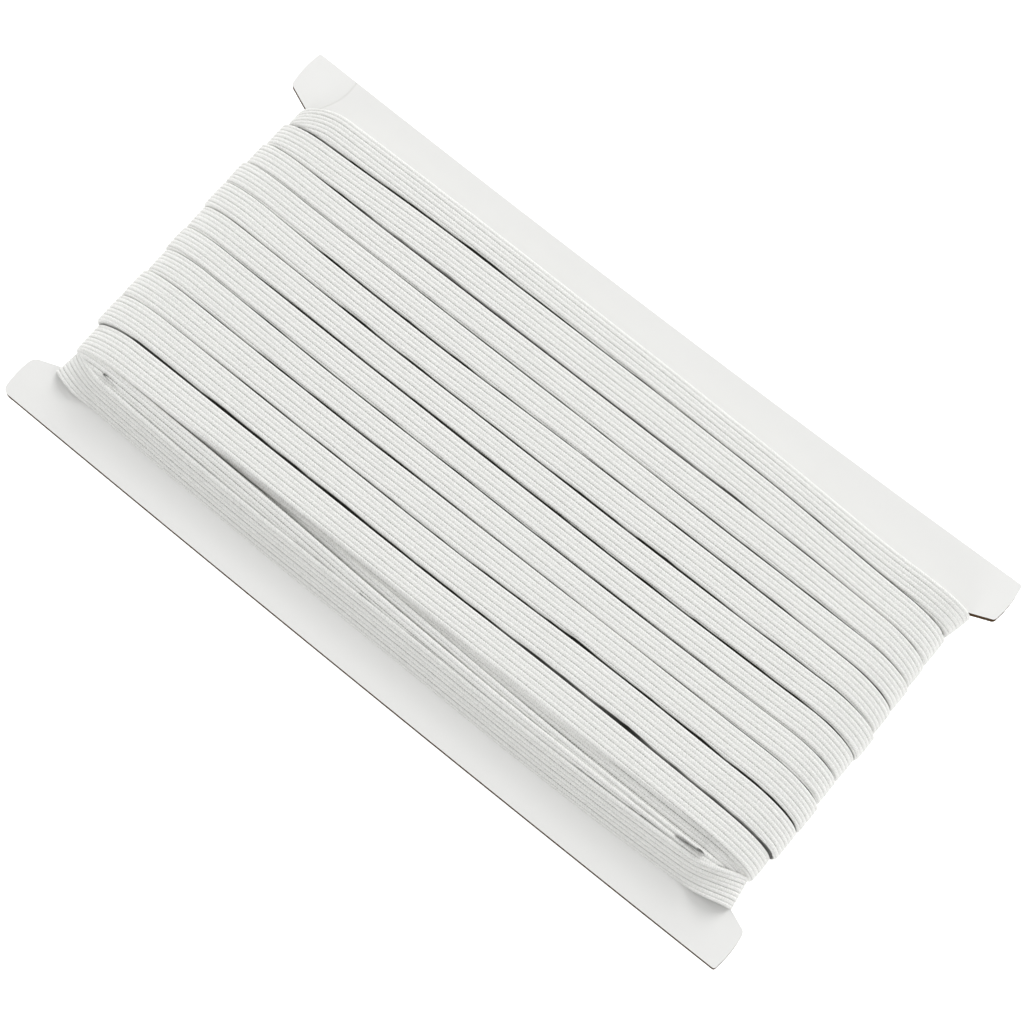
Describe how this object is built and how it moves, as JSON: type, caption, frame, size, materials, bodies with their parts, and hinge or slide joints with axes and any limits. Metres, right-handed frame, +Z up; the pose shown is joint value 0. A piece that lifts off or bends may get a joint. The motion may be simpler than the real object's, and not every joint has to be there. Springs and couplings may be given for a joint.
{
  "type": "flat notched card wound with white ribbed braided elastic",
  "caption": "Flat winding card with notched ends, wound round its waist with narrow white ribbed elastic in side-by-side turns that store the strip ready to pull off.",
  "frame": {"origin": "centre of the part's box in plan, at the level of the surface that it lies on", "axes": "+X along the card and the strip, +Y across the turns towards the first one, +Z up through the face that shows"},
  "size_m": [0.1406, 0.075, 0.0127],
  "materials": {
    "white_board": "smooth white lined face with a brown cut edge",
    "white_elastic": "matt ribbed braid"
  },
  "bodies": {
    "root": {"card": "white_board", "winding": "white_elastic"}
  },
  "joints": []
}
